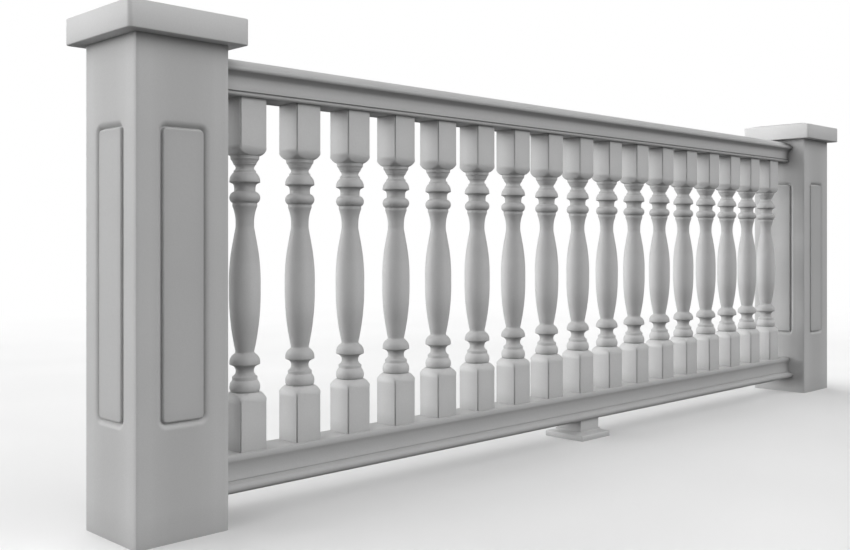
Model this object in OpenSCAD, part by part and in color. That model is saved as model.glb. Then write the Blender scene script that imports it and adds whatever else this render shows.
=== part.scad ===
// Moulded polyurethane balustrade, one bay: two panelled newel posts with caps, a
// moulded top rail, a moulded bottom rail, turned balusters and a foot block at mid-span.
// Millimetres. X runs along the rails, Y runs from the front to the back, Z is up.
// The origin is on the ground at the centre of the bay.

/* [Bay] */
// Clear length of the rails between the two newels
rail_length = 2438; // [2300:1:2560]
// Height of the top of the handrail above the ground
rail_top = 912; // [900:1:960]
// Height of the underside of the bottom rail above the ground
ground_gap = 52; // [44:1:70]
// Number of balusters in the bay
baluster_count = 17; // [12:1:18]
// Clear gap between a newel and the first baluster block
end_gap = 69; // [50:1:90]

/* [Newels] */
// Side of the square newel shaft
newel_width = 194; // [184:1:220]
// Height of the newel shaft up to the underside of the cap
newel_height = 918; // [918:1:1100]
// Thickness of the moulded newel wall round the hollow core
newel_wall = 30; // [24:1:40]
// Rounding of the upright edges of the shaft
newel_edge = 11; // [4:0.5:14]

/* [Newel panels] */
// Width of the raised field of a panel
panel_width = 82; // [60:1:100]
// Height of the raised field of a panel
panel_height = 532; // [400:1:536]
// Height of the bottom of the raised field above the ground
panel_base = 220; // [180:1:230]
// Width of the groove round the field
groove_width = 15.5; // [12:0.5:18]
// Width of the flat floor of the groove beside the field
groove_floor = 3; // [2:0.5:5]
// Depth of the groove
groove_depth = 8; // [5:0.5:9]

/* [Newel caps] */
// How far the cap reaches past the shaft on each side
cap_overhang = 27.5; // [15:0.5:40]
// Height of the upright edge of the cap
cap_edge = 50; // [35:1:70]
// Rounding of the four upright corners of the cap
cap_corner = 9; // [4:0.5:14]
// Width of the sloping border on top of the cap
cap_slope_width = 40; // [20:1:60]
// Height of the sloping border
cap_rise = 9; // [4:1:20]
// Depth of the seat in the underside that takes the top of the shaft
cap_seat = 10; // [6:1:16]
// Width of the shoulder round the top of the shaft that carries the cap
cap_shoulder = 10; // [6:1:14]

/* [Rails] */
// Greatest width of both rails
rail_width = 106; // [100:1:120]
// Width of both rails where they meet the balusters
rail_seat_width = 78; // [76:1:84]
// Height of the top rail
top_rail_height = 76; // [72:1:90]
// Height of the bottom rail
bottom_rail_height = 73.5; // [70:0.5:80]

/* [Balusters] */
// Side of the square blocks of a baluster
block_width = 64; // [64:1:66]
// Height of the lower block up to its turned shoulder
lower_block = 101; // [80:1:120]
// Width of the fine quirk down each corner of a block, measured along a face
quirk_width = 1.3; // [0.8:0.1:2]
// Depth of that quirk, measured from a face
quirk_depth = 3; // [2:0.5:4]

/* [Foot block] */
// Side of the base plate
foot_width = 127; // [110:1:140]
// Thickness of the base plate
foot_plate = 15; // [10:1:18]
// Height of the sloping shoulder above the plate
foot_shoulder = 9; // [5:1:12]
// Side of the stem under the rail
foot_stem = 82; // [70:1:100]

/* [Hidden] */
baluster_names = [for (i = [1 : baluster_count]) str("baluster_", i < 10 ? "0" : "", i)];

newel_colour = "Gainsboro";
rail_colour = "Silver";
baluster_colour = "LightGray";

// A newel stands at each end of the rails
newel_x = (rail_length + newel_width) / 2;
// The top of the shaft is rebated to enter the seat in the cap
tenon_width = newel_width - 2 * cap_shoulder;
// The balusters stand on the bottom rail and carry the top rail
baluster_base = ground_gap + bottom_rail_height;
baluster_height = rail_top - top_rail_height - baluster_base;
first_baluster_x = -rail_length / 2 + end_gap + block_width / 2;
baluster_pitch = -2 * first_baluster_x / (baluster_count - 1);

// Height of the turning between the straight parts of the two blocks
turning_height = 509.5;
// Greatest radius of the vase, just inside the faces of the blocks
belly_radius = 31.9;
// Radius of the vase at its foot, above the ring
foot_radius = 19.1;
// Least radius of the vase, at its neck
neck_radius = 18.6;

// Points from p to q along a circular arc. The bulge is the height of the arc over its
// chord: positive to the right of the way from p to q, negative to the left.
function arc(p, q, bulge, steps = 6) =
    let (
        chord = norm(q - p),
        along = (q - p) / chord,
        right = [along[1], -along[0]],
        radius = (chord * chord / 4 + bulge * bulge) / (2 * abs(bulge)),
        side = sign(bulge),
        centre = (p + q) / 2 - side * right * (radius - abs(bulge)),
        half = asin(chord / 2 / radius)
    )
    [for (i = [0 : steps])
        let (a = -half + 2 * half * i / steps)
        centre + radius * (side * right * cos(a) + along * sin(a))];

// The same outline mirrored in the line x = 0, with its points in reverse order
function mirrored(points) =
    [for (i = [len(points) - 1 : -1 : 0]) [-points[i][0], points[i][1]]];

// Outline of a square with rounded corners, centred on the origin
function rounded_square(width, radius, steps = 4) =
    [for (corner = [0 : 3], i = [0 : steps])
        let (turn = 90 * corner, a = turn + 90 * i / steps, inset = width / 2 - radius)
        [
            inset * (cos(turn) - sin(turn)) + radius * cos(a),
            inset * (sin(turn) + cos(turn)) + radius * sin(a)
        ]];

// Outline of a square with a fine vee cut into each corner, centred on the origin
function quirked_square(width, mouth, depth) =
    let (h = width / 2, corner = [[h, h - mouth], [h - depth, h - depth], [h - mouth, h]])
    [for (turn = [0 : 90 : 270], p = corner)
        [p[0] * cos(turn) - p[1] * sin(turn), p[0] * sin(turn) + p[1] * cos(turn)]];

// Lays a flat outline drawn in Y and Z along the X axis
module along_x(length) {
    translate([-length / 2, 0, 0]) rotate([90, 0, 90]) linear_extrude(length) children();
}

// A square block whose four sides all have the same upright outline, so that its
// slopes meet in straight hips
module four_sided(width) {
    intersection() {
        along_x(width) children();
        rotate(90) along_x(width) children();
    }
}

// Section of the panel groove beside the field, which ends at x = 0: a flat wall on the
// field's side, a narrow floor and a round lip that runs out smoothly into the face of
// the newel
module groove_section() {
    run = groove_width - groove_floor;
    lip_bulge = norm([run, groove_depth]) / 2 * tan(atan2(groove_depth, run) / 2);
    polygon(concat(
        [[groove_width, 1], [0, 1], [0, -groove_depth]],
        arc([groove_floor, -groove_depth], [groove_width, 0], -lip_bulge)
    ));
}

// The groove round one panel, cut into a face that lies in the XY plane
module panel_groove() {
    for (side = [0 : 3]) {
        turned = side % 2 == 1;
        across = turned ? panel_height : panel_width;
        run = turned ? panel_width : panel_height;
        rotate(90 * side) {
            translate([across / 2, run / 2, 0]) rotate([90, 0, 0])
                linear_extrude(run) groove_section();
            translate([across / 2, run / 2, 0]) rotate_extrude(angle = 90, $fn = 48)
                groove_section();
        }
    }
}

// Newel shaft: a moulded shell round a square core, open at its foot and top, with a
// panel on each face and a shoulder round the top for the cap
module newel(x) {
    core = newel_width - 2 * newel_wall;
    panel_middle = panel_base + panel_height / 2;
    color(newel_colour) translate([x, 0, 0]) difference() {
        union() {
            linear_extrude(newel_height) polygon(rounded_square(newel_width, newel_edge));
            linear_extrude(newel_height + cap_seat) square(tenon_width, center = true);
        }
        translate([-core / 2, -core / 2, -1]) cube([core, core, newel_height + cap_seat + 2]);
        for (face = [0 : 3])
            rotate(90 * face) translate([0, -newel_width / 2, panel_middle])
                rotate([90, 0, 0]) panel_groove();
    }
}

// Newel cap: an upright edge, a sloping border and a flat top, with a seat underneath
// that drops over the shaft
module newel_cap(x) {
    width = newel_width + 2 * cap_overhang;
    half = width / 2;
    // rounding of the lower edge
    soft = 2;
    color(newel_colour) translate([x, 0, newel_height]) difference() {
        intersection() {
            linear_extrude(cap_edge + cap_rise) polygon(rounded_square(width, cap_corner));
            four_sided(width) polygon([
                [-half + soft, 0], [half - soft, 0], [half, soft], [half, cap_edge],
                [half - cap_slope_width, cap_edge + cap_rise],
                [-half + cap_slope_width, cap_edge + cap_rise], [-half, cap_edge], [-half, soft]
            ]);
        }
        translate([0, 0, -1]) linear_extrude(cap_seat + 1) square(tenon_width, center = true);
    }
}

// Right half of the top rail's section, from the middle of its underside to its crown.
// From below: a small bead, a quirk, a hollow fascia, the overhanging nose and the crown.
function top_rail_half() =
    let (
        nose = rail_width / 2,
        seat = rail_seat_width / 2,
        fascia = seat - 1,
        top = top_rail_height
    )
    concat(
        [[seat - 1, 0]],
        arc([seat, 1.5], [seat, 6.5], 1, 3),
        [[fascia + 0.5, 7.5], [fascia - 2.5, 8.8], [fascia, 10.2]],
        arc([fascia, 11], [fascia, top - 39], -1.8),
        [[fascia + 2, top - 36.5], [nose - 5, top - 31]],
        arc([nose - 4, top - 30.5], [nose - 4, top - 18.5], 4),
        arc([nose - 5.5, top - 17.5], [0, top], 4.51, 9)
    );

// Right half of the bottom rail's section, from the middle of its underside to its top.
// From below: the overhanging bead, a quirk, a hollow fascia and a broad band with a
// rounded upper edge.
function bottom_rail_half() =
    let (
        nose = rail_width / 2,
        seat = rail_seat_width / 2,
        fascia = seat - 1,
        top = bottom_rail_height
    )
    concat(
        [[nose - 7, 0]],
        arc([nose - 6, 0.7], [nose, 9.5], 1.8),
        arc([nose, 11], [fascia + 3.5, 20], 2.4),
        [[fascia + 2.5, 20.8], [fascia - 1.5, 22], [fascia + 1, 23.4]],
        arc([fascia + 1, 24], [fascia - 0.5, top - 18.5], -2),
        [[seat + 0.4, top - 14]],
        arc([seat + 0.9, top - 13], [seat + 0.9, top - 6.5], 0.3, 3),
        arc([seat + 0.6, top - 5.8], [seat - 5.5, top], 1.7)
    );

module top_rail() {
    half = top_rail_half();
    whole = concat(half, [for (p = mirrored(half)) if (p[0] < -0.01) p]);
    color(rail_colour) translate([0, 0, rail_top - top_rail_height])
        along_x(rail_length) polygon(whole);
}

module bottom_rail() {
    half = bottom_rail_half();
    color(rail_colour) translate([0, 0, ground_gap])
        along_x(rail_length) polygon(concat(half, mirrored(half)));
}

// Outline of the turning between the two blocks, as [radius, height], from the shoulder
// of the lower block up to the shoulder of the upper block. Heights are measured from the
// top of the lower block's straight part, so the turning keeps its shape: the blocks
// take up any change in the baluster's height.
function turning() = concat(
    // shoulder of the lower block
    arc([45.6, 0], [29.5, 15.5], 2.2, 8),
    // bell above the block, with a fillet on top
    arc([28, 15.3], [31, 23.5], 0.9, 4),
    arc([31.1, 24.5], [25.8, 38.8], 1.5),
    [[25.3, 39.5], [25.7, 45.5], [24.9, 46.5]],
    // hollow neck under the ring
    arc([24.2, 47.2], [18.5, 56], -1.3, 5),
    arc([18.5, 57.5], [23.6, 68], -1.6, 5),
    // ring with a sharp lower arris and a domed top
    [[30.8, 71.1], [31.2, 72.5]],
    arc([31, 74.5], [21.4, 92.3], 2.8, 8),
    arc([20.8, 93.1], [foot_radius, 97], -0.6, 3),
    // vase: a slow swelling up to the belly and a quicker fall to the neck
    arc([foot_radius, 98], [belly_radius, 222], 3.6, 12),
    arc([belly_radius, 228], [23.8, 321.5], 2.5, 9),
    arc([19.5, 345], [neck_radius, 355], -0.3, 3),
    // flare to the fillet under the bead
    arc([neck_radius, 359], [25.2, 393], -1.7, 7),
    [[25, 394], [24.9, 399]],
    // full round bead
    arc([26, 399.4], [22.2, 421.4], 6.9, 10),
    // short neck
    [[21.4, 423.3], [21.4, 429.5], [22.3, 434.5], [24.5, 437.8]],
    // inverted bell with a sharp lower arris and a fillet on top
    [[30.8, 440.4], [31.2, 441.8]],
    arc([31, 443.5], [23.2, 460], 1.9),
    [[22.6, 460.5], [22.5, 464]],
    arc([21.8, 464.5], [18.7, 468.8], -0.5, 3),
    // cup, fillet and collar that carry the upper block
    arc([18.6, 470.3], [22.1, 476.5], -0.6, 3),
    [[23, 477], [23.2, 479.5]],
    arc([24.2, 480], [28.3, 487], -0.5, 3),
    [[28.8, 487.5], [29.4, 493.8]],
    // shoulder of the upper block
    arc([29.9, 494.2], [45.6, turning_height], 2.4, 8)
);

// Baluster number i, counted from the left: turned from a square length, with plain
// blocks at both ends
module baluster(i) {
    turned = [for (p = turning()) [p[0], p[1] + lower_block]];
    // a radius that passes outside the corners of the blocks
    outside = block_width;
    color(baluster_colour)
        translate([first_baluster_x + (i - 1) * baluster_pitch, 0, baluster_base])
            intersection() {
                linear_extrude(baluster_height)
                    polygon(quirked_square(block_width, quirk_width, quirk_depth));
                rotate_extrude($fn = 64) polygon(concat(
                    [[0, -1], [outside, -1], [outside, lower_block]],
                    turned,
                    [
                        [outside, lower_block + turning_height],
                        [outside, baluster_height + 1], [0, baluster_height + 1]
                    ]
                ));
            }
}

// Foot block under the middle of the bottom rail: a base plate, a sloping shoulder and a
// square stem
module foot_block() {
    plate = foot_width / 2;
    stem = foot_stem / 2;
    shoulder_top = foot_plate + foot_shoulder;
    color(rail_colour) four_sided(foot_width) polygon(concat(
        [[-plate, 0], [plate, 0], [plate, foot_plate - 1.5], [plate - 1.5, foot_plate]],
        arc([plate - 4, foot_plate], [stem + 2.5, shoulder_top - 2.5], -1.2, 4),
        [[stem + 2.5, shoulder_top], [stem, shoulder_top], [stem, ground_gap]],
        [[-stem, ground_gap], [-stem, shoulder_top], [-stem - 2.5, shoulder_top]],
        mirrored(arc([plate - 4, foot_plate], [stem + 2.5, shoulder_top - 2.5], -1.2, 4)),
        [[-plate + 1.5, foot_plate], [-plate, foot_plate - 1.5]]
    ));
}

newel(-newel_x);  // newel_left
newel(newel_x);  // newel_right
newel_cap(-newel_x);  // newel_cap_left
newel_cap(newel_x);  // newel_cap_right
top_rail();
bottom_rail();
for (i = [1 : baluster_count])
    baluster(i);
foot_block();
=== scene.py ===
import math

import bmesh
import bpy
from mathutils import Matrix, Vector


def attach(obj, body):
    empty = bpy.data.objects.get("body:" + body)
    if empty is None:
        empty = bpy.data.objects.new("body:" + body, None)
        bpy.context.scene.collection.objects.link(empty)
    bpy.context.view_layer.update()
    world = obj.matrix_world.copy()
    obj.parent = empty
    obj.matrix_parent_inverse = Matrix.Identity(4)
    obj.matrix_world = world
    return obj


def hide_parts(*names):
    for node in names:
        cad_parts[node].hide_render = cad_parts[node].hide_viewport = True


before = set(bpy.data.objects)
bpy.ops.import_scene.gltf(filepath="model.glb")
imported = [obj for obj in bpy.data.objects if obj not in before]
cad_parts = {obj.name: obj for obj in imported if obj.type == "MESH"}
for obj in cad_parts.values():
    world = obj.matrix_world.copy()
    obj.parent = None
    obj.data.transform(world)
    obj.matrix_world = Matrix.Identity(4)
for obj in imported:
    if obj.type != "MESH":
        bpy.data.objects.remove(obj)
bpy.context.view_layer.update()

# %% [markdown]
# # A bay of moulded balustrade
#
# This file dresses one bay of a polyurethane balustrade: two panelled newels with their
# caps, seventeen turned balusters between two moulded rails, and the foot block that
# carries the lower rail at mid-span. The driving sizes are repeated from the CAD solids,
# which stay as they are. Each solid is stood in for by a piece made here, whose edges are
# eased, whose hollows and mouldings are round, and whose skin has the grain and tone of a
# primed moulding. Every piece is drawn in millimetres and turned into metres at the end.

scene = bpy.context.scene
METRE = 0.001

# %% [markdown]
# ## Sizes
#
# A short table of the driving sizes keeps the pieces in step with each other. The bay is
# as long as its rails, and a newel stands outside each end of them. The balusters are
# spaced from one end gap to the other, so their pitch follows from their number.
#
# A newel's upright edges turn more squarely than a plain round. A bevel profile of 0.5
# would be a quarter circle, and the 0.72 of `EDGE_PROFILE` pushes the curve out towards
# the corner. Each `ARRIS` is how far a sharp corner is eased. The last three values
# are tolerances: points closer than `SAME` count as one place, points closer than `MERGE`
# are joined, and a cut keeps to points within `CUT` of its plane.

# %% Driving sizes in millimetres
RAIL_LENGTH = 2438.0
RAIL_TOP = 912.0
RAIL_WIDTH = 106.0
RAIL_SEAT = 78.0
TOP_RAIL = 76.0
BOTTOM_RAIL = 73.5
GROUND_GAP = 52.0

NEWEL_WIDTH = 194.0
NEWEL_HEIGHT = 918.0
NEWEL_EDGE = 11.0
EDGE_PROFILE = 0.72
NEWEL_WALL = 30.0
PANEL_WIDTH = 82.0
PANEL_HEIGHT = 532.0
PANEL_BASE = 220.0
PANEL_MARGIN = 4.0
PANEL_CORNER = 6.5
GROOVE_WIDTH = 15.5

CAP_OVERHANG = 27.5
CAP_EDGE = 50.0
CAP_CORNER = 9.0
CAP_SLOPE = 40.0
CAP_RISE = 9.0
CAP_SEAT = 10.0
CAP_SHOULDER = 10.0

BALUSTERS = 17
END_GAP = 69.0
BLOCK_WIDTH = 64.0
LOWER_BLOCK = 101.0
TURNING_HEIGHT = 509.5
QUIRK_WIDTH = 2.2
QUIRK_DEPTH = 2.6
QUIRK_STOP = 7.0

BALUSTER_ARRIS = 0.45
RAIL_ARRIS = 0.35

SAME = 0.01
MERGE = 0.001
CUT = 0.0005

newel_x = (RAIL_LENGTH + NEWEL_WIDTH) / 2
baluster_base = GROUND_GAP + BOTTOM_RAIL
baluster_height = RAIL_TOP - TOP_RAIL - baluster_base
first_x = -RAIL_LENGTH / 2 + END_GAP + BLOCK_WIDTH / 2
pitch = -2 * first_x / (BALUSTERS - 1)
print("baluster", baluster_height, "high at a pitch of", pitch)

# %% [markdown]
# ## Arcs
#
# A moulding is a chain of straight fillets and circular arcs. An arc is given by its two
# ends and its bulge, which is what a maker reads off with a profile gauge: the height of
# the curve over the chord. A positive bulge lies to the right of the way from start to
# end. A facet turns through seven degrees at most, unless the arc is given another `turn`.

# %% Arc helper
def arc(start, end, bulge, turn=7.0):
    """Points along the circular arc from start to end, one for each turn in degrees."""
    start, end = Vector(start), Vector(end)
    chord = (end - start).length
    along = (end - start) / chord
    right = Vector((along.y, -along.x))
    radius = (chord * chord / 4 + bulge * bulge) / (2 * abs(bulge))
    side = math.copysign(1, bulge)
    centre = (start + end) / 2 - side * right * (radius - abs(bulge))
    half = math.asin(min(1, chord / 2 / radius))
    steps = max(2, math.ceil(math.degrees(2 * half) / turn))
    return [
        centre + radius * (side * right * math.cos(a) + along * math.sin(a))
        for a in (half * (2 * i / steps - 1) for i in range(steps + 1))
    ]


print("a half round 10 mm across has", len(arc((0, 0), (10, 0), 5)), "points")

# %% [markdown]
# ## From outline to piece
#
# Four short functions serve every piece. `outline` draws a chain of edges and eases its
# sharp corners with a vertex bevel, since no moulded arris is a knife edge. `bend` tells
# it which corners are sharp. `upright_edges` finds the edges that stand plumb. Last,
# `finish_piece` turns a bmesh into an object that rides on the frame: doubles are merged,
# faces point outwards, shading is smooth except over real arrises, and millimetres become
# metres.

# %% Outline and finishing helpers
def outline(bm, points, place, closed=False, ease=0.0, sharp=28.0):
    """Draws points as a chain of edges, set in space by place, with eased corners."""
    verts = [bm.verts.new(place(p)) for p in points]
    pairs = list(zip(verts, verts[1:])) + ([(verts[-1], verts[0])] if closed else [])
    for pair in pairs:
        bm.edges.new(pair)
    if ease:
        corners = [v for v in verts if len(v.link_edges) == 2 and bend(v) > sharp]
        bmesh.ops.bevel(
            bm, geom=corners, offset=ease, offset_type="OFFSET", segments=2, profile=0.5,
            affect="VERTICES", clamp_overlap=True, material=-1,
        )
    return list(bm.edges)


def bend(vert):
    """How far a chain of edges turns at this vertex, in degrees."""
    a, b = (e.other_vert(vert).co - vert.co for e in vert.link_edges)
    return 180 - math.degrees(a.angle(b))


def upright_edges(bm):
    """The edges that stand plumb."""
    rise = lambda e: abs(e.verts[0].co.z - e.verts[1].co.z)
    return [e for e in bm.edges if rise(e) > e.calc_length() - SAME]


def finish_piece(bm, name, node, material, sharp=50.0):
    """Turns the bmesh into the piece that stands for a CAD node."""
    bmesh.ops.remove_doubles(bm, verts=bm.verts, dist=MERGE)
    bmesh.ops.recalc_face_normals(bm, faces=bm.faces)
    bmesh.ops.scale(bm, vec=(METRE,) * 3, verts=bm.verts)
    for face in bm.faces:
        face.smooth = True
    for edge in bm.edges:
        if edge.is_manifold and math.degrees(edge.calc_face_angle(0)) > sharp:
            edge.smooth = False
    open_edges = sum(1 for edge in bm.edges if not edge.is_manifold)
    triangles = sum(len(face.verts) - 2 for face in bm.faces)
    mesh = bpy.data.meshes.new(name)
    bm.to_mesh(mesh)
    bm.free()
    mesh.materials.append(material)
    piece = bpy.data.objects.new(name, mesh)
    scene.collection.objects.link(piece)
    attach(piece, "root")
    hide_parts(node)
    print(f"{name}: {triangles} triangles, {open_edges} open edges")
    return piece


# %% [markdown]
# ## The moulded skin
#
# The bay is cast in polyurethane and leaves the mould with a pale grey primer baked into
# its skin. Close to, the skin is not one flat colour. The mould gives it a fine grain and
# a faint orange peel, a few air bubbles leave pinholes, and the primer clouds a little
# from place to place. Shade is painted darker into the quirks and under the beads, and a
# painted highlight lightens the skin near eased edges. Each of these is one shader group
# with named sockets, so every material on the bay is put together from the same few parts.

# %% Small helpers for node trees
def feed(tree, socket, value):
    """Links an output to this socket, or writes a plain value on it."""
    if isinstance(value, bpy.types.NodeSocket):
        tree.links.new(value, socket)
    else:
        socket.default_value = value


def add(tree, kind, inputs, output=0, **settings):
    """Adds a shader node, fills its inputs and returns one of its outputs."""
    node = tree.nodes.new("ShaderNode" + kind)
    for name, value in settings.items():
        setattr(node, name, value)
    for name, value in inputs.items():
        feed(tree, node.inputs[name], value)
    return node.outputs[output]


def maths(tree, operation, *values, clamp=False):
    """A math node with one or two values."""
    return add(tree, "Math", dict(enumerate(values)), operation=operation, use_clamp=clamp)


def span(tree, value, low, high, to_low=0.0, to_high=1.0):
    """Maps a value from one range to another with soft ends."""
    ends = {"Value": value, "From Min": low, "From Max": high, "To Min": to_low, "To Max": to_high}
    return add(tree, "MapRange", ends, interpolation_type="SMOOTHSTEP")


def shader_group(name, inputs, outputs):
    """An empty shader group with named sockets: its tree, its inputs and its output node."""
    tree = bpy.data.node_groups.new(name, "ShaderNodeTree")
    for label, kind, value in inputs:
        socket = tree.interface.new_socket(label, in_out="INPUT", socket_type=kind)
        if value is not None:
            socket.default_value = value
    for label, kind in outputs:
        tree.interface.new_socket(label, in_out="OUTPUT", socket_type=kind)
    ins, outs = tree.nodes.new("NodeGroupInput"), tree.nodes.new("NodeGroupOutput")
    return tree, ins.outputs, outs.inputs


FLOAT, COLOUR, VECTOR = "NodeSocketFloat", "NodeSocketColor", "NodeSocketVector"
print("kinds of socket for the groups:", FLOAT, COLOUR, VECTOR)

# %% [markdown]
# The grain group works at three sizes. Noise of about three millimetres is the speckle
# that shows on the balusters, noise of a centimetre is the orange peel, and a sparse
# cell pattern gives pinholes about two millimetres across. Its height goes to a bump node.

# %% Group: mould grain
SPECKLE_SCALE, PEEL_SCALE, PINHOLE_SCALE = 330.0, 95.0, 55.0
SPECKLE_HEIGHT = 0.35
PINHOLE_RARITY = 0.93
PINHOLE_FLOOR, PINHOLE_RIM = 0.04, 0.07

grain_group, ins, outs = shader_group(
    "mould grain",
    [("Position", VECTOR, None)],
    [("Height", FLOAT), ("Speckle", FLOAT)],
)
place = ins["Position"]
speckle = add(grain_group, "TexNoise", {"Vector": place, "Scale": SPECKLE_SCALE, "Detail": 4.0})
peel = add(grain_group, "TexNoise", {"Vector": place, "Scale": PEEL_SCALE, "Detail": 1.0})
cells = {"Vector": place, "Scale": PINHOLE_SCALE}
distance = add(grain_group, "TexVoronoi", cells, "Distance")
colour = add(grain_group, "TexVoronoi", cells, "Color")
chance = add(grain_group, "SeparateColor", {"Color": colour})
rare = maths(grain_group, "GREATER_THAN", chance, PINHOLE_RARITY)
hole = span(grain_group, distance, PINHOLE_FLOOR, PINHOLE_RIM, 1.0, 0.0)
pit = maths(grain_group, "MULTIPLY", hole, rare)
relief = maths(grain_group, "ADD", maths(grain_group, "MULTIPLY", speckle, SPECKLE_HEIGHT), peel)
feed(grain_group, outs["Height"], maths(grain_group, "SUBTRACT", relief, pit))
feed(grain_group, outs["Speckle"], speckle)
print("mould grain:", len(grain_group.nodes), "nodes")

# %% [markdown]
# The primer is sprayed into the mould, so its tone drifts over a hand's breadth, and no
# two pieces have quite the same tone. Where it is lighter it is also a little rougher.

# %% Group: primer tone
CLOUD_SHARE, PIECE_SHARE = 2.0, 0.5
MIDDLE = (CLOUD_SHARE + PIECE_SHARE) / 2
SPECKLE_CONTRAST = 0.1
DULLING = 0.16

primer_group, ins, outs = shader_group(
    "primer tone",
    [("Position", VECTOR, None), ("Tone", COLOUR, (0.5, 0.5, 0.5, 1)), ("Drift", FLOAT, 0.04),
     ("Speckle", FLOAT, 0.5), ("Roughness", FLOAT, 0.45)],
    [("Colour", COLOUR), ("Roughness", FLOAT)],
)
cloud = add(primer_group, "TexNoise", {"Vector": ins["Position"], "Scale": 9.0, "Detail": 3.0})
piece = add(primer_group, "ObjectInfo", {}, "Random")
clouded = maths(primer_group, "MULTIPLY", cloud, CLOUD_SHARE)
own = maths(primer_group, "MULTIPLY", piece, PIECE_SHARE)
spread = maths(primer_group, "ADD", clouded, own)
drift = maths(primer_group, "MULTIPLY", maths(primer_group, "SUBTRACT", spread, MIDDLE), ins["Drift"])
dots = maths(primer_group, "SUBTRACT", ins["Speckle"], 0.5)
dots = maths(primer_group, "MULTIPLY", dots, SPECKLE_CONTRAST)
gain = maths(primer_group, "ADD", maths(primer_group, "ADD", drift, dots), 1.0)
tinted = add(primer_group, "VectorMath", {0: ins["Tone"], "Scale": gain}, operation="SCALE")
feed(primer_group, outs["Colour"], tinted)
dull = maths(primer_group, "MULTIPLY", maths(primer_group, "SUBTRACT", cloud, 0.5), DULLING)
feed(primer_group, outs["Roughness"], maths(primer_group, "ADD", ins["Roughness"], dull))
print("primer tone:", len(primer_group.nodes), "nodes")

# %% [markdown]
# Painted shade and highlight follow the shape. Ambient occlusion finds the places that
# see little of the room: the quirks, the creases under the beads, the joints between
# pieces, and shade is painted darker into them. The same test made inside the solid finds
# the eased edges, and a paler highlight is painted along them. Each kind of piece has its
# own reach, because a handrail's hollow is wider than a baluster's quirk. No crease goes
# darker than `DARKEST` of its own tone.

# %% Group: painted shade and highlight
DARKEST = 0.05
TRIES = 8

painted_light_group, ins, outs = shader_group(
    "dust and rubbing",
    [("Colour", COLOUR, None), ("Dust", FLOAT, 0.4), ("Crease reach", FLOAT, 0.03),
     ("Rub", FLOAT, 0.5), ("Edge reach", FLOAT, 0.06)],
    [("Colour", COLOUR)],
)
open_air = add(
    painted_light_group, "AmbientOcclusion", {"Distance": ins["Crease reach"]}, "AO", samples=TRIES
)
occlusion_mask = maths(painted_light_group, "SUBTRACT", 1.0, open_air)
edge_air = add(
    painted_light_group, "AmbientOcclusion", {"Distance": ins["Edge reach"]}, "AO", samples=TRIES,
    inside=True,
)
# Painted shade: the colour darkens where the crease test sees little of the room.
painted_darkening = maths(painted_light_group, "MULTIPLY", occlusion_mask, ins["Dust"])
# Painted highlight: the colour lightens near eased edges, where the test inside the solid finds them.
painted_lightening = maths(painted_light_group, "MULTIPLY", edge_air, ins["Rub"])
gain = maths(painted_light_group, "ADD", maths(painted_light_group, "SUBTRACT", 1.0, painted_darkening), painted_lightening)
gain = maths(painted_light_group, "MAXIMUM", gain, DARKEST)
painted_light_colour = add(painted_light_group, "VectorMath", {0: ins["Colour"], "Scale": gain}, operation="SCALE")
feed(painted_light_group, outs["Colour"], painted_light_colour)
print("dust and rubbing:", len(painted_light_group.nodes), "nodes")

# %% [markdown]
# A finish is then a short chain: grain, primer, painted shade and highlight. The shader
# itself and the bump node stay in the material, and only the groups' values reach them.
# The tones, and most of the figures for the painted shade and highlight, are the rounded
# results of a separate least-squares fit, made together with that of the lamps further on.

# %% Finishes of the bay
def group_node(tree, group, inputs):
    """Adds a shader group to a material and fills its inputs."""
    node = tree.nodes.new("ShaderNodeGroup")
    node.node_tree = group
    for name, value in inputs.items():
        feed(tree, node.inputs[name], value)
    return node.outputs


def moulded_finish(
    name, tone, painted_shade=(0, 0.015), painted_highlight=(0, 0.06), drift=0.04, roughness=0.45, relief=0.0002
):
    """A primed polyurethane skin in one grey tone, with painted shade in its creases and a painted
    highlight near its edges, each given as (strength, reach).
    """
    material = bpy.data.materials.new(name)
    material.use_nodes = True
    tree = material.node_tree
    shader = tree.nodes["Principled BSDF"]
    place = add(tree, "TexCoord", {}, "Object")
    grain = group_node(tree, grain_group, {"Position": place})
    primer = group_node(tree, primer_group, {
        "Position": place, "Tone": (tone, tone, tone, 1), "Drift": drift,
        "Speckle": grain["Speckle"], "Roughness": roughness,
    })
    painted_light_colour = group_node(tree, painted_light_group, {
        "Colour": primer["Colour"], "Dust": painted_shade[0], "Crease reach": painted_shade[1],
        "Rub": painted_highlight[0], "Edge reach": painted_highlight[1],
    })
    # The base colour carries the painted shade and painted highlight.
    feed(tree, shader.inputs["Base Color"], painted_light_colour["Colour"])
    feed(tree, shader.inputs["Roughness"], primer["Roughness"])
    bump = {"Height": grain["Height"], "Strength": 1.0, "Distance": relief}
    feed(tree, shader.inputs["Normal"], add(tree, "Bump", bump))
    return material


# Painted light and shade: the bay wears one primer, but the fitted tones run from 0.36 on the
# handrail to 0.69 on the caps, so they also carry light and shade that the lamps don't give.
FINISHES = {
    "newel": moulded_finish("newel skin", 0.455, painted_shade=(0.17, 0.015), painted_highlight=(0.67, 0.06)),
    "cap": moulded_finish("cap skin", 0.69),
    "handrail": moulded_finish("handrail skin", 0.36, painted_shade=(1.17, 0.06), painted_highlight=(0.68, 0.03)),
    "base rail": moulded_finish("base rail skin", 0.473, painted_shade=(0.03, 0.015)),
    "baluster": moulded_finish("baluster skin", 0.495, painted_shade=(0.5, 0.03), painted_highlight=(0.52, 0.06)),
    "foot": moulded_finish("foot block skin", 0.64, painted_shade=(0.54, 0.03)),
}
print("finishes:", ", ".join(FINISHES))

# %% [markdown]
# ## The turned baluster
#
# A baluster is turned from a square length: the lathe leaves a plain block at each end,
# and between the shoulders it cuts, from the foot up, a bell with its fillet, a hollow
# neck, a domed ring, the long vase, a flare, a full bead, a short neck, an inverted bell
# and the cup that carries the upper block. Heights are measured from the top of the lower
# block, radii from the axis.

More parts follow.
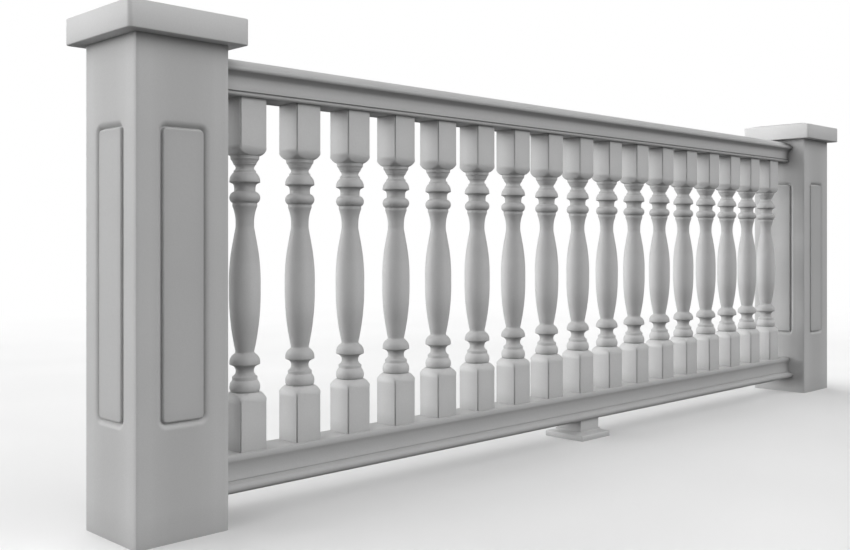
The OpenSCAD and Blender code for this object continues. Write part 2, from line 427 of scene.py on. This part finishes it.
# %% Outline of the turning
def turning():
    """Radius and height of the turned part, from shoulder to shoulder."""
    foot, belly, neck = 19.1, 31.9, 18.6
    return [
        # shoulder of the lower block, bell and fillet
        *arc((45.6, 0), (29.5, 15.5), 2.2, 14), *arc((28, 15.3), (31, 23.5), 0.9),
        *arc((31.1, 24.5), (25.8, 38.8), 1.5), (25.3, 39.5), (25.7, 45.5), (24.9, 46.5),
        # hollow neck and domed ring
        *arc((24.2, 47.2), (18.5, 56), -1.3), *arc((18.5, 57.5), (23.6, 68), -1.6),
        (30.8, 71.1), (31.2, 72.5), *arc((31, 74.5), (21.4, 92.3), 2.8),
        *arc((20.8, 93.1), (foot, 97), -0.6),
        # vase
        *arc((foot, 98), (belly, 222), 3.6, 1.2), *arc((belly, 228), (23.8, 321.5), 2.5, 1.2),
        *arc((19.5, 345), (neck, 355), -0.3, 2.5),
        # flare, bead and short neck
        *arc((neck, 359), (25.2, 393), -1.7, 3), (25, 394), (24.9, 399),
        *arc((26, 399.4), (22.2, 421.4), 6.9), (21.4, 423.3), (21.4, 429.5),
        (22.3, 434.5), (24.5, 437.8),
        # inverted bell, cup, collar and shoulder of the upper block
        (30.8, 440.4), (31.2, 441.8), *arc((31, 443.5), (23.2, 460), 1.9),
        (22.6, 460.5), (22.5, 464), *arc((21.8, 464.5), (18.7, 468.8), -0.5),
        *arc((18.6, 470.3), (22.1, 476.5), -0.6), (23, 477), (23.2, 479.5),
        *arc((24.2, 480), (28.3, 487), -0.5), (28.8, 487.5), (29.4, 493.8),
        *arc((29.9, 494.2), (45.6, TURNING_HEIGHT), 2.4, 14),
    ]


print("turning:", len(turning()), "points,", TURNING_HEIGHT, "high")

# %% [markdown]
# The outline is spun round the axis with stock to spare, and four flat cuts square it to
# the width of its blocks. The corners of the blocks are then rounded, and a fine vee is
# pressed into each of them. It stops short of the shoulders, and its edges are marked
# sharp, so that the shading doesn't run from the vee into the flats.

# %% Spinning and squaring
STOCK = 50.0
SPIN_STEPS = 72
VEE_ANGLE = 20


def square_off(bm, half):
    """Cuts the four flats that the lathe never reached and closes them."""
    for side in range(4):
        out = Vector((math.cos(side * math.pi / 2), math.sin(side * math.pi / 2), 0))
        cut = bmesh.ops.bisect_plane(
            bm, geom=bm.verts[:] + bm.edges[:] + bm.faces[:], dist=CUT,
            plane_co=out * half, plane_no=out, clear_outer=True,
        )
        rim = [g for g in cut["geom_cut"] if isinstance(g, bmesh.types.BMEdge) and g.is_boundary]
        bmesh.ops.holes_fill(bm, edges=rim, sides=0)


def press_vees(bm, half):
    """Rounds the corners of the blocks and presses a vee into each, short of the shoulders."""
    on_corner = lambda v: abs(abs(v.co.x) - half) < SAME and abs(abs(v.co.y) - half) < SAME
    corners = [e for e in bm.edges if all(on_corner(v) for v in e.verts)]
    bmesh.ops.bevel(
        bm, geom=corners, offset=QUIRK_WIDTH, offset_type="OFFSET", segments=2,
        profile=0.5, affect="EDGES", clamp_overlap=False, material=-1,
    )
    stops = (LOWER_BLOCK - QUIRK_STOP, LOWER_BLOCK + TURNING_HEIGHT + QUIRK_STOP)
    block_reach = half - 0.05
    for height in stops:
        upright = [f for f in bm.faces if abs(f.normal.z) < 0.001]
        flats = [f for f in upright if f.calc_center_median().xy.length > block_reach]
        geom = list({g for f in flats for g in (*f.verts, *f.edges, f)})
        bmesh.ops.bisect_plane(
            bm, geom=geom, dist=CUT, plane_co=(0, 0, height), plane_no=(0, 0, 1)
        )
    for sx in (-1, 1):
        for sy in (-1, 1):
            ridge = [
                v for v in bm.verts
                if half - SAME > v.co.x * sx > half - QUIRK_WIDTH
                and abs(v.co.x * sx - v.co.y * sy) < 2 * SAME
                and not stops[0] + SAME < v.co.z < stops[1] - SAME
            ]
            step = half - QUIRK_DEPTH - abs(ridge[0].co.x)
            bmesh.ops.translate(bm, verts=ridge, vec=(step * sx, step * sy, 0))


def turned_baluster():
    """One baluster standing on the origin."""
    bm = bmesh.new()
    half = BLOCK_WIDTH / 2
    middle = [(p[0], p[1] + LOWER_BLOCK) for p in turning()]
    low, high = middle[0][1], middle[-1][1]
    points = [
        (0, 0), (STOCK, 0), (STOCK, low), *middle, (STOCK, high), (STOCK, baluster_height),
        (0, baluster_height),
    ]
    chain = outline(bm, points, lambda p: (p[0], 0, p[1]), ease=BALUSTER_ARRIS)
    bmesh.ops.spin(
        bm, geom=chain + list(bm.verts), axis=(0, 0, 1), cent=(0, 0, 0), steps=SPIN_STEPS,
        angle=math.tau, use_merge=True, use_duplicate=False,
    )
    bmesh.ops.remove_doubles(bm, verts=bm.verts, dist=MERGE)
    square_off(bm, half)
    bmesh.ops.recalc_face_normals(bm, faces=bm.faces)
    press_vees(bm, half)
    for edge in upright_edges(bm):
        if edge.is_manifold and edge.calc_face_angle(0) > math.radians(VEE_ANGLE):
            edge.smooth = False
    return bm


model = turned_baluster()
print("one baluster:", len(model.verts), "points,", len(model.faces), "faces")

# %% [markdown]
# The seventeen balusters are copies of that one, set out from the left at the pitch.

# %% Seventeen balusters
for number in range(1, BALUSTERS + 1):
    bm = model.copy()
    where = Vector((first_x + (number - 1) * pitch, 0, baluster_base))
    bmesh.ops.translate(bm, verts=bm.verts, vec=where)
    finish_piece(
        bm, f"turned_baluster_{number:02d}", f"baluster_{number:02d}",
        FINISHES["baluster"], sharp=80,
    )
model.free()

# %% [markdown]
# ## The rails
#
# Both rails are drawn as half a section, from the middle of the underside round to the
# top, and mirrored. A face filled into the outline is drawn out along the bay, just as
# the moulding is poured in a long mould.

# %% Sections of the two rails
nose, seat, fascia = RAIL_WIDTH / 2, RAIL_SEAT / 2, RAIL_SEAT / 2 - 1


def top_rail_half(top=TOP_RAIL):
    """Bead, quirk, hollow fascia, overhanging nose and crown, upwards."""
    return [
        (seat - 1, 0), *arc((seat, 1.5), (seat, 6.5), 1), (fascia + 0.5, 7.5),
        (fascia - 2.5, 8.8), (fascia, 10.2), *arc((fascia, 11), (fascia, top - 39), -1.8, 4),
        (fascia + 2, top - 36.5), (nose - 5, top - 31),
        *arc((nose - 4, top - 30.5), (nose - 4, top - 18.5), 4),
        *arc((nose - 5.5, top - 17.5), (0, top), 4.51, 3),
    ]


def bottom_rail_half(top=BOTTOM_RAIL):
    """Overhanging bead, quirk, hollow fascia and a band with a rounded edge, upwards."""
    return [
        (nose - 7, 0), *arc((nose - 6, 0.7), (nose, 9.5), 1.8),
        *arc((nose, 11), (fascia + 3.5, 20), 2.4), (fascia + 2.5, 20.8),
        (fascia - 1.5, 22), (fascia + 1, 23.4),
        *arc((fascia + 1, 24), (fascia - 0.5, top - 18.5), -2, 4), (seat + 0.4, top - 14),
        *arc((seat + 0.9, top - 13), (seat + 0.9, top - 6.5), 0.3),
        *arc((seat + 0.6, top - 5.8), (seat - 5.5, top), 1.7),
    ]


print("top rail:", len(top_rail_half()), "points; bottom rail:", len(bottom_rail_half()), "points")

# %% [markdown]
# The mirrored half closes the section. A rail ends flush with the newels' inner faces.

# %% Rails drawn out along the bay
def rail(half_section, height):
    """A rail as long as the bay, with its underside at the given height."""
    bm = bmesh.new()
    right = [Vector(p) for p in half_section]
    left = [Vector((-p.x, p.y)) for p in reversed(right) if p.x > SAME]
    place = lambda p: (-RAIL_LENGTH / 2, p[0], p[1] + height)
    chain = outline(bm, right + left, place, closed=True, ease=RAIL_ARRIS)
    bmesh.ops.contextual_create(bm, geom=chain)
    drawn = bmesh.ops.extrude_face_region(bm, geom=bm.faces[:])
    far = [g for g in drawn["geom"] if isinstance(g, bmesh.types.BMVert)]
    bmesh.ops.translate(bm, verts=far, vec=(RAIL_LENGTH, 0, 0))
    return bm


finish_piece(
    rail(top_rail_half(), RAIL_TOP - TOP_RAIL), "handrail", "top_rail",
    FINISHES["handrail"],
)
finish_piece(
    rail(bottom_rail_half(), GROUND_GAP), "base_rail", "bottom_rail",
    FINISHES["base rail"],
)

# %% [markdown]
# ## The newels
#
# A newel is a moulded box round an open core. The shaft starts as a block whose upright
# edges are rounded. Rings of edges bridged one to the next make the shoulder under the
# cap, the tenon and the core. Each face is then cut round its panel, and a rounded panel
# outline is let into it and stepped inwards: down the round lip of the groove, across
# its narrow floor and back up the wall, until the field lies flush with the face again.

# %% Rings, rims and blocks
def square_ring(bm, width, height):
    """A square of four loose edges, level at the given height."""
    made = bmesh.ops.create_circle(
        bm, segments=4, radius=width / math.sqrt(2),
        matrix=Matrix.Translation((0, 0, height)) @ Matrix.Rotation(math.pi / 4, 4, "Z"),
    )
    return list({e for v in made["verts"] for e in v.link_edges})


def bridge(bm, *rings):
    """Joins each ring of edges to the next with a band of faces."""
    for one, two in zip(rings, rings[1:]):
        bmesh.ops.bridge_loops(bm, edges=one + two)


def open_end(bm, height):
    """Removes the level faces at this height and returns the rim they leave."""
    level = [f for f in bm.faces if all(abs(v.co.z - height) < SAME for v in f.verts)]
    rim = list({e for f in level for e in f.edges})
    bmesh.ops.delete(bm, geom=level, context="FACES_ONLY")
    return rim


def block(bm, width, low, high):
    """A square block centred on the axis."""
    size = Matrix.Diagonal((width, width, high - low, 1))
    bmesh.ops.create_cube(bm, size=1, matrix=Matrix.Translation((0, 0, (low + high) / 2)) @ size)


print("newel", NEWEL_WIDTH, "square round an open core of", NEWEL_WIDTH - 2 * NEWEL_WALL)

# %% [markdown]
# The groove round a panel is one section, walked inwards a step at a time. It goes down
# the round lip, across the narrow floor and up the wall, and its last corner is eased
# where it meets the field.

# %% Panels and their grooves
LIP_WIDTH, LIP_DEPTH = 11.8, 7.4
WALL_FOOT, WALL_FACE, FIELD_EDGE = 14.0, 14.4, 19.5
FIELD_EASE = 3.4
QUARTER_BULGE = 0.2929


def cut_round_panels(bm):
    """Cuts the faces of the shaft along straight lines just outside its panels."""
    across = PANEL_WIDTH / 2 + GROOVE_WIDTH + PANEL_MARGIN
    low = PANEL_BASE - GROOVE_WIDTH - PANEL_MARGIN
    high = PANEL_BASE + PANEL_HEIGHT + GROOVE_WIDTH + PANEL_MARGIN
    for place, normal in (
        ((across, 0, 0), (1, 0, 0)), ((-across, 0, 0), (1, 0, 0)),
        ((0, across, 0), (0, 1, 0)), ((0, -across, 0), (0, 1, 0)),
        ((0, 0, low), (0, 0, 1)), ((0, 0, high), (0, 0, 1)),
    ):
        faces = [f for f in bm.faces if abs(f.normal.z) < 0.5]
        geom = list({g for f in faces for g in (*f.verts, *f.edges, f)})
        bmesh.ops.bisect_plane(bm, geom=geom, dist=MERGE, plane_co=place, plane_no=normal)


def face_at(bm, centre):
    """The faces whose middle lies at this place."""
    return [f for f in bm.faces if (f.calc_center_median() - centre).length < 1]


def let_in_fields(bm):
    """Lets a rounded panel outline into each of the four faces and returns the fields."""
    fields = []
    middle = PANEL_BASE + PANEL_HEIGHT / 2
    size = Matrix.Diagonal(
        (PANEL_WIDTH + 2 * GROOVE_WIDTH, PANEL_HEIGHT + 2 * GROOVE_WIDTH, 1, 1)
    )
    for side in range(4):
        turned = Matrix.Rotation(side * math.pi / 2, 4, "Z")
        face_frame = turned @ Matrix.Translation((0, -NEWEL_WIDTH / 2, middle))
        cell = face_at(bm, face_frame.translation)
        rim = list(cell[0].edges)
        bmesh.ops.delete(bm, geom=cell, context="FACES_ONLY")
        made = bmesh.ops.create_grid(
            bm, x_segments=1, y_segments=1, size=0.5,
            matrix=face_frame @ Matrix.Rotation(math.pi / 2, 4, "X") @ size,
        )
        bmesh.ops.bevel(
            bm, geom=made["verts"], offset=GROOVE_WIDTH + PANEL_CORNER, offset_type="OFFSET",
            segments=7, profile=0.5, affect="VERTICES", clamp_overlap=False, material=-1,
        )
        field = face_at(bm, face_frame.translation)
        bridge(bm, rim, list(field[0].edges))
        fields += field
    return fields


def groove_section():
    """The groove from the face of the shaft to the field: way inwards and height."""
    lip_bulge = math.hypot(LIP_WIDTH, LIP_DEPTH) / 2
    lip_bulge *= math.tan(math.atan2(LIP_DEPTH, LIP_WIDTH) / 2)
    ease_end = (WALL_FACE + FIELD_EASE, 0)
    return [
        *arc((0, 0), (LIP_WIDTH, -LIP_DEPTH), -lip_bulge, 8), Vector((WALL_FOOT, -LIP_DEPTH)),
        *arc((WALL_FACE, -FIELD_EASE), ease_end, -FIELD_EASE * QUARTER_BULGE, 15),
        Vector((FIELD_EDGE, 0)),
    ]


def sink_grooves(bm, fields):
    """Steps the fields inwards along the section of the groove."""
    section = groove_section()
    for one, two in zip(section, section[1:]):
        step = two - one
        bmesh.ops.inset_region(
            bm, faces=fields, thickness=step.x, depth=step.y, use_even_offset=True,
            use_boundary=True,
        )


print("groove section:", len(groove_section()), "points")

# %% [markdown]
# The shaft puts these together, from the rounded block to the tenon and the open core.

# %% Newel shaft
def boundary_at(bm, height):
    """The open edges that lie level at this height."""
    level = lambda e: all(abs(v.co.z - height) < SAME for v in e.verts)
    return [e for e in bm.edges if e.is_boundary and level(e)]


def newel_shaft(x):
    """A panelled newel shaft standing at x."""
    bm = bmesh.new()
    block(bm, NEWEL_WIDTH, 0, NEWEL_HEIGHT)
    bmesh.ops.bevel(
        bm, geom=upright_edges(bm), offset=NEWEL_EDGE, offset_type="OFFSET", segments=4,
        profile=EDGE_PROFILE, affect="EDGES", clamp_overlap=False, material=-1,
    )
    tenon, core = NEWEL_WIDTH - 2 * CAP_SHOULDER, NEWEL_WIDTH - 2 * NEWEL_WALL
    head = open_end(bm, NEWEL_HEIGHT)
    open_end(bm, 0)
    bridge(bm, head, square_ring(bm, tenon, NEWEL_HEIGHT))
    cut_round_panels(bm)
    fields = let_in_fields(bm)
    bmesh.ops.recalc_face_normals(bm, faces=bm.faces)
    sink_grooves(bm, fields)
    top = NEWEL_HEIGHT + CAP_SEAT
    collar, foot = boundary_at(bm, NEWEL_HEIGHT), boundary_at(bm, 0)
    bridge(
        bm, collar, square_ring(bm, tenon, top), square_ring(bm, core, top),
        square_ring(bm, core, 0), foot,
    )
    bmesh.ops.translate(bm, verts=bm.verts, vec=(x, 0, 0))
    return bm


print("the newels stand at", -newel_x, "and", newel_x)

# %% [markdown]
# The cap is a block with a shallow sloping border. Its upright edges are rounded, the
# rims above and below are eased, and a square seat is sunk into its underside.

# %% Newel cap
def newel_cap(x):
    """A newel cap: upright edge, sloping border, flat top and a seat underneath."""
    bm = bmesh.new()
    width, low = NEWEL_WIDTH + 2 * CAP_OVERHANG, NEWEL_HEIGHT
    high = low + CAP_EDGE
    block(bm, width, low, high)
    top = [f for f in bm.faces if f.normal.z > 0.9]
    bmesh.ops.inset_region(bm, faces=top, thickness=CAP_SLOPE, depth=CAP_RISE, use_even_offset=True)
    bmesh.ops.bevel(
        bm, geom=upright_edges(bm), offset=CAP_CORNER, offset_type="OFFSET", segments=3,
        profile=0.5, affect="EDGES", clamp_overlap=False, material=-1,
    )
    inner = width / 2 - CAP_CORNER
    for level, ease in ((low, 2.0), (high, 1.0)):
        outer = lambda v: max(abs(v.co.x), abs(v.co.y)) > inner and abs(v.co.z - level) < SAME
        rim = [e for e in bm.edges if all(outer(v) for v in e.verts)]
        bmesh.ops.bevel(
            bm, geom=rim, offset=ease, offset_type="OFFSET", segments=2, profile=0.5,
            affect="EDGES", clamp_overlap=False, material=-1,
        )
    tenon = NEWEL_WIDTH - 2 * CAP_SHOULDER
    mouth = square_ring(bm, tenon, low)
    roof = square_ring(bm, tenon, low + CAP_SEAT)
    bridge(bm, open_end(bm, low), mouth, roof)
    bmesh.ops.edgeloop_fill(bm, edges=roof)
    bmesh.ops.translate(bm, verts=bm.verts, vec=(x, 0, 0))
    return bm


for side, x in (("left", -newel_x), ("right", newel_x)):
    finish_piece(newel_shaft(x), f"{side}_newel_shaft", f"newel_{side}", FINISHES["newel"])
    finish_piece(newel_cap(x), f"{side}_cap", f"newel_cap_{side}", FINISHES["cap"])

# %% [markdown]
# ## The foot block
#
# The foot block grows from its base plate. Each step of the path draws the top face in
# and lifts it: plate, eased edge, hollow shoulder and stem.

# %% Foot block
def foot_block():
    """The foot block, lifted step by step from its base plate to the rail."""
    bm = bmesh.new()
    plate, stem, shoulder = 63.5, 41.0, 24.0
    path = [Vector(p) for p in (
        (plate, 0), (plate, 13.5), (plate - 1.5, 15),
        *arc((plate - 4, 15), (stem + 2.5, shoulder - 2.5), -1.2),
        (stem + 2.5, shoulder), (stem, shoulder), (stem, GROUND_GAP),
    )]
    bmesh.ops.create_grid(bm, x_segments=1, y_segments=1, size=plate)
    top = bm.faces[:]
    for one, two in zip(path, path[1:]):
        bmesh.ops.inset_region(
            bm, faces=top, thickness=one.x - two.x, depth=two.y - one.y,
            use_even_offset=True, use_boundary=True,
        )
    bmesh.ops.holes_fill(bm, edges=[e for e in bm.edges if e.is_boundary], sides=0)
    return bm


finish_piece(foot_block(), "middle_foot_block", "foot_block", FINISHES["foot"])

# %% [markdown]
# ## Light, floor and camera
#
# The bay stands in a white studio, in soft light. The two strongest lamps stand low on the
# left, and ten weaker ones fill in from all round and from above. Each lamp is a sun with
# a wide disc, which acts like a large panel of the studio's sky: azimuth, elevation, width
# and strength.
# The choice of lamps and their strengths are the results of a separate least-squares fit
# to the wanted tones, which also kept the back of the bay below white. They weren't set
# by hand. The lamps aren't seen in reflections.

# %% Soft lamps
def direction(azimuth, elevation):
    """The unit vector that points to this azimuth and elevation, in degrees."""
    a, e = math.radians(azimuth), math.radians(elevation)
    return Vector((math.cos(a) * math.cos(e), math.sin(a) * math.cos(e), math.sin(e)))


def soft_lamp(azimuth, elevation, width, strength):
    """A sun with a wide disc."""
    lamp = bpy.data.lights.new(f"lamp_{azimuth}_{elevation}", "SUN")
    lamp.energy, lamp.angle = strength, math.radians(width)
    holder = bpy.data.objects.new(lamp.name, lamp)
    scene.collection.objects.link(holder)
    holder.visible_glossy = False
    holder.rotation_euler = direction(azimuth, elevation).to_track_quat("Z", "Y").to_euler()


LAMPS = [
    (120, 8, 34, 1.81), (150, 8, 34, 1.3), (270, 35, 44, 0.9), (315, 35, 44, 0.79),
    (90, 35, 44, 0.64), (300, 8, 34, 0.6), (180, 35, 44, 0.57), (45, 35, 44, 0.49),
    (135, 35, 44, 0.48), (0, 90, 44, 0.4), (72, 62, 44, 0.33), (210, 8, 34, 0.28),
]
for lamp in LAMPS:
    soft_lamp(*lamp)
level = sum(strength * math.sin(math.radians(e)) for _, e, _, strength in LAMPS) / math.pi
print(len(LAMPS), "lamps; a white floor would show at", round(level, 2))

# %% [markdown]
# The world is white where the camera looks at it. It adds no diffuse light to the bay,
# only the faintest reflection.

# %% World
FAINT_REFLECTION = 0.05

world = bpy.data.worlds.new("studio")
scene.world = world
world.use_nodes = True
tree = world.node_tree
backdrop = tree.nodes["Background"]
backdrop.inputs["Color"].default_value = (1, 1, 1, 1)
seen = add(tree, "LightPath", {}, "Is Camera Ray")
mirrored = maths(tree, "MULTIPLY", add(tree, "LightPath", {}, "Is Glossy Ray"), FAINT_REFLECTION)
feed(tree, backdrop.inputs["Strength"], maths(tree, "MAXIMUM", seen, mirrored))

print("world: white to the camera, reflections at", FAINT_REFLECTION)

# %% [markdown]
# The floor is pale and faintly polished near the bay, and fades into the white backdrop
# further off. Only the camera sees it so. Other rays meet a dark diffuse grey, which
# keeps the light from below as weak as the wanted tones ask and isn't how a real white
# floor acts. From below, the floor is see-through, so that the underside can be seen.

# %% Floor
FLOOR_REACH = 40
PALE, PALEST = 0.86, 0.92
POLISH = 0.05
FADE_START, FADE_END = 2.5, 6.0
BOUNCE = 0.09

bm = bmesh.new()
bmesh.ops.create_grid(bm, x_segments=1, y_segments=1, size=FLOOR_REACH)
sheet = bpy.data.meshes.new("floor")
bm.to_mesh(sheet)
bm.free()
floor = bpy.data.objects.new("floor", sheet)
scene.collection.objects.link(floor)
finish = bpy.data.materials.new("studio floor")
finish.use_nodes = True
tree = finish.node_tree
tree.nodes.clear()
place = add(tree, "TexCoord", {}, "Object")
marble = add(tree, "TexNoise", {"Vector": place, "Scale": 0.8, "Detail": 2.0})
shade = span(tree, marble, 0.2, 0.8, PALE, PALEST)
grey = add(tree, "CombineColor", {"Red": shade, "Green": shade, "Blue": shade})
seen = add(tree, "BsdfDiffuse", {"Color": grey})
polish = add(tree, "BsdfGlossy", {"Color": (0.9, 0.9, 0.9, 1), "Roughness": 0.06})
near = add(tree, "MixShader", {0: POLISH, 1: seen, 2: polish})
away = add(tree, "VectorMath", {0: place}, "Value", operation="LENGTH")
white = add(tree, "Emission", {"Color": (1, 1, 1, 1), "Strength": 1.0})
shown = add(tree, "MixShader", {0: span(tree, away, FADE_START, FADE_END), 1: near, 2: white})
bounce = add(tree, "BsdfDiffuse", {"Color": (BOUNCE, BOUNCE, BOUNCE, 1)})
ray = add(tree, "LightPath", {}, "Is Camera Ray")
both = add(tree, "MixShader", {0: ray, 1: bounce, 2: shown})
below = add(tree, "NewGeometry", {}, "Backfacing")
open_below = add(tree, "MixShader", {0: below, 1: both, 2: add(tree, "BsdfTransparent", {})})
feed(tree, tree.nodes.new("ShaderNodeOutputMaterial").inputs["Surface"], open_below)
sheet.materials.append(finish)
print("floor:", len(tree.nodes), "nodes, fading to white from", FADE_START, "to", FADE_END, "m")

# %% [markdown]
# The camera stands a little above the balusters' bellies, left of the near newel, and
# looks at the bay from about 45 degrees. It is level, and a small vertical shift takes in
# the newel's foot, so upright edges stay upright. Its place and lens were fitted too.

# %% Camera
lens = bpy.data.cameras.new("camera")
camera = bpy.data.objects.new("camera", lens)
scene.collection.objects.link(camera)
lens.sensor_width = 36
lens.lens = 42.42
lens.shift_x = -0.0016
lens.shift_y = -0.0395
camera.location = (-2.286, -1.711, 0.547)
camera.rotation_euler = (math.radians(90), 0, math.radians(45.407 - 90))
scene.camera = camera
scene.view_settings.view_transform = "Standard"
print("camera:", lens.lens, "mm lens at", [round(v, 3) for v in camera.location])
